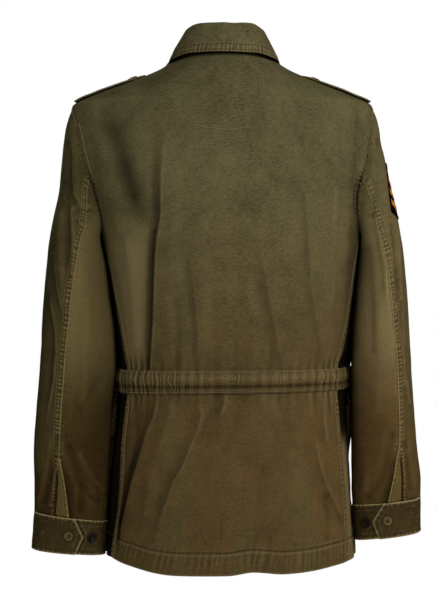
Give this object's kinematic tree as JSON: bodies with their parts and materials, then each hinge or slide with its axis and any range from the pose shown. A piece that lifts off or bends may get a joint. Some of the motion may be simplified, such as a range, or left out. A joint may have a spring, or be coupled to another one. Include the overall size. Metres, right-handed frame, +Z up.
{
  "type": "field jacket",
  "caption": "Olive cotton field jacket, filled out as when worn: turn-down collar, shoulder straps, gathered waist casing, flapped hip pockets, pointed cuffs and a chevron sleeve badge.",
  "frame": {"origin": "centre of the neck opening, level with the neck ends of the shoulder seams", "axes": "+Z up, +Y out of the back, +X towards the wearer's left"},
  "size_m": [0.5862, 0.2653, 0.8007],
  "materials": {
    "cloth": "washed cotton sateen, olive drab",
    "shaded_cloth": "washed cotton sateen, darker olive",
    "buttons": "dark brown, four holes",
    "badge": "black with woven gold chevrons"
  },
  "bodies": {
    "root": {"back": "cloth", "front_left": "cloth", "front_right": "cloth", "front_band": "cloth", "waist_casing": "cloth", "collar_fall": "cloth", "sleeve_upper_left": "cloth", "sleeve_upper_right": "cloth", "sleeve_under_left": "cloth", "sleeve_under_right": "cloth", "strap_left": "cloth", "strap_right": "cloth", "pocket_left": "cloth", "pocket_right": "cloth", "pocket_flap_left": "cloth", "pocket_flap_right": "cloth", "vent_flap_left": "cloth", "vent_flap_right": "cloth", "collar_stand": "shaded_cloth", "cuff_left": "shaded_cloth", "cuff_right": "shaded_cloth", "front_button_1": "buttons", "front_button_2": "buttons", "front_button_3": "buttons", "front_button_4": "buttons", "front_button_5": "buttons", "front_button_6": "buttons", "strap_button_left": "buttons", "strap_button_right": "buttons", "cuff_button_left": "buttons", "cuff_button_right": "buttons", "sleeve_badge": "badge"}
  },
  "joints": []
}
